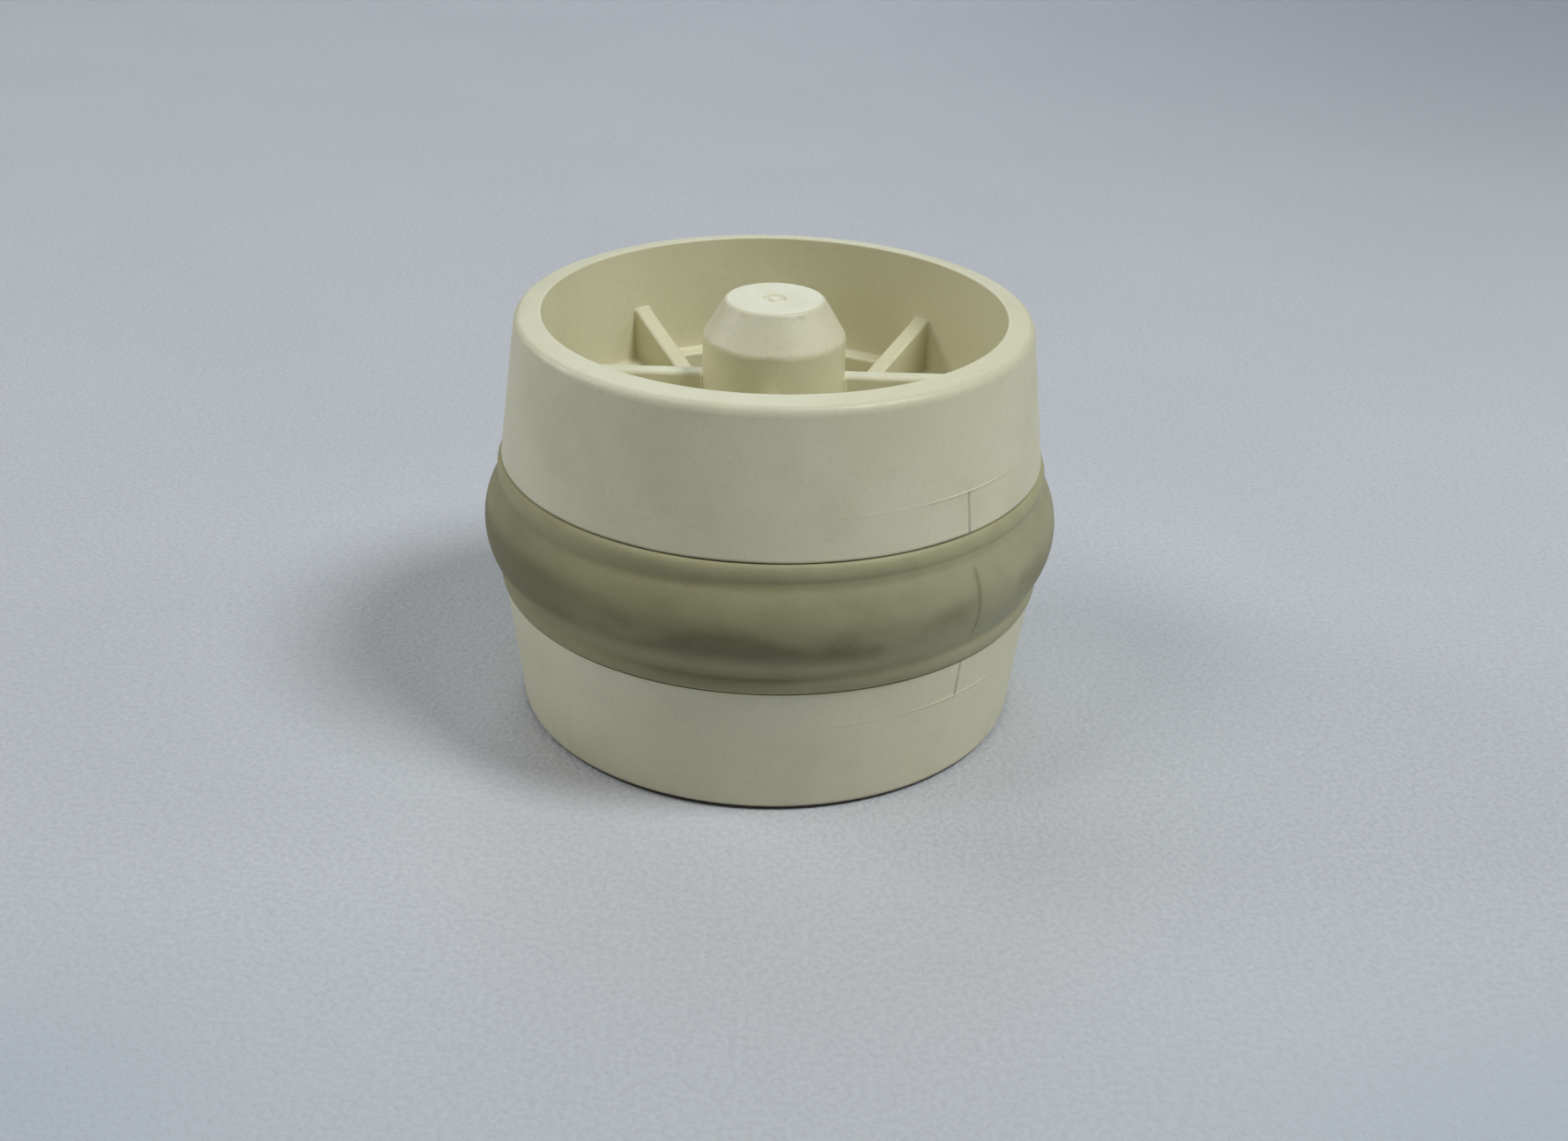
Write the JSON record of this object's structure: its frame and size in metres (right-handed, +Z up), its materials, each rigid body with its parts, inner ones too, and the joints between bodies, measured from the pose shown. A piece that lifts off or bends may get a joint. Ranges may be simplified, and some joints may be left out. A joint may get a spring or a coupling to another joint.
{
  "type": "gate bumper roller",
  "caption": "Barrel-shaped plastic roller with a soft bumper band round its waist, a ribbed hollow body and a closed hub turning on a steel spindle.",
  "frame": {"origin": "centre of the bottom rim, on the surface that the roller stands on", "axes": "+Z up along the spindle, towards the closed nose of the hub; X and Y along the flat spokes"},
  "size_m": [0.0902, 0.0902, 0.0665],
  "materials": {
    "shell": "moulded cream plastic, satin, fine grain",
    "band": "over-moulded olive soft plastic, matt, with rubbed dark marks",
    "steel": "turned, zinc plated",
    "bearing_steel": "ground and polished",
    "spring_steel": "phosphated, dark",
    "cage": "natural nylon",
    "seal": "black, matt"
  },
  "bodies": {
    "axle": {"spindle": "steel", "lower_bearing_inner_ring": "bearing_steel", "upper_bearing_inner_ring": "bearing_steel", "inner_spacer": "steel", "shim_washer": "steel", "spindle_circlip": "spring_steel", "dust_washer": "seal"},
    "roller": {"roller_shell": "shell", "bumper_band": "band", "lower_bearing_outer_ring": "bearing_steel", "upper_bearing_outer_ring": "bearing_steel", "lower_bearing_lower_shield": "seal", "lower_bearing_upper_shield": "seal", "upper_bearing_lower_shield": "seal", "upper_bearing_upper_shield": "seal", "outer_spacer": "cage", "hub_circlip": "spring_steel"},
    "lower_ball_set": {"lower_bearing_cage": "cage", "lower_bearing_ball_1": "bearing_steel", "lower_bearing_ball_2": "bearing_steel", "lower_bearing_ball_3": "bearing_steel", "lower_bearing_ball_4": "bearing_steel", "lower_bearing_ball_5": "bearing_steel", "lower_bearing_ball_6": "bearing_steel", "lower_bearing_ball_7": "bearing_steel"},
    "upper_ball_set": {"upper_bearing_cage": "cage", "upper_bearing_ball_1": "bearing_steel", "upper_bearing_ball_2": "bearing_steel", "upper_bearing_ball_3": "bearing_steel", "upper_bearing_ball_4": "bearing_steel", "upper_bearing_ball_5": "bearing_steel", "upper_bearing_ball_6": "bearing_steel", "upper_bearing_ball_7": "bearing_steel"}
  },
  "joints": [
    {"name": "roller_spin", "type": "hinge", "parent": "axle", "child": "roller", "pos_m": [0, 0, 0.0325], "axis": [0, 0, 1], "continuous": true},
    {"name": "lower_ball_turn", "type": "hinge", "parent": "axle", "child": "lower_ball_set", "pos_m": [0, 0, 0.0115], "axis": [0, 0, 1], "continuous": true},
    {"name": "upper_ball_turn", "type": "hinge", "parent": "axle", "child": "upper_ball_set", "pos_m": [0, 0, 0.0275], "axis": [0, 0, 1], "continuous": true}
  ],
  "couplings": [
    {"joint": "lower_ball_turn", "follows": "roller_spin", "ratio": 0.6323},
    {"joint": "upper_ball_turn", "follows": "roller_spin", "ratio": 0.6323}
  ]
}
